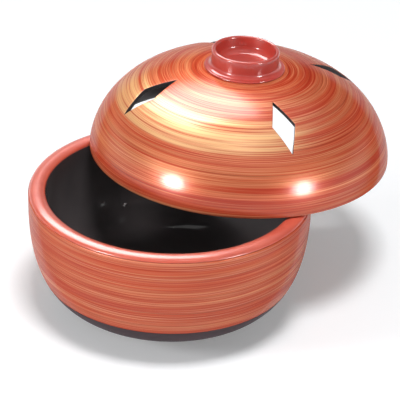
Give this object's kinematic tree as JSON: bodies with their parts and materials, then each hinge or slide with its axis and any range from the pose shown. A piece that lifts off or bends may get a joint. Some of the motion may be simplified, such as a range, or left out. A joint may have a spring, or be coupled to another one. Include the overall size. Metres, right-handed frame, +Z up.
{
  "type": "soup bowl with lid",
  "caption": "Double-walled round soup bowl on a foot ring, with a domed lid that has diamond cut-outs and a ring-shaped knob.",
  "frame": {"origin": "centre of the foot ring, on the table", "axes": "+Z up along the bowl's axis; the picture looks along +Y with +X to the right"},
  "size_m": [0.1802, 0.1912, 0.123],
  "materials": {
    "brushed_shell": "red lacquer with fine gold brush streaks round it, under a clear gloss coat",
    "plain_rim": "plain coral red gloss lacquer",
    "black_liner": "plain black gloss lacquer",
    "black_base": "plain black gloss lacquer with a faint purple tone",
    "brushed_lid": "red lacquer with fine gold brush streaks round it outside, plain black gloss inside",
    "plain_knob": "plain red gloss lacquer"
  },
  "bodies": {
    "bowl": {"outer_shell": "brushed_shell", "rim_ring": "plain_rim", "liner": "black_liner", "base": "black_base"},
    "lid": {"lid_dome": "brushed_lid", "lid_knob": "plain_knob"}
  },
  "joints": [
    {"name": "lid_lift", "type": "slide", "parent": "bowl", "child": "lid", "axis": [0, 0, 1], "range_m": [0, 0.09]}
  ]
}
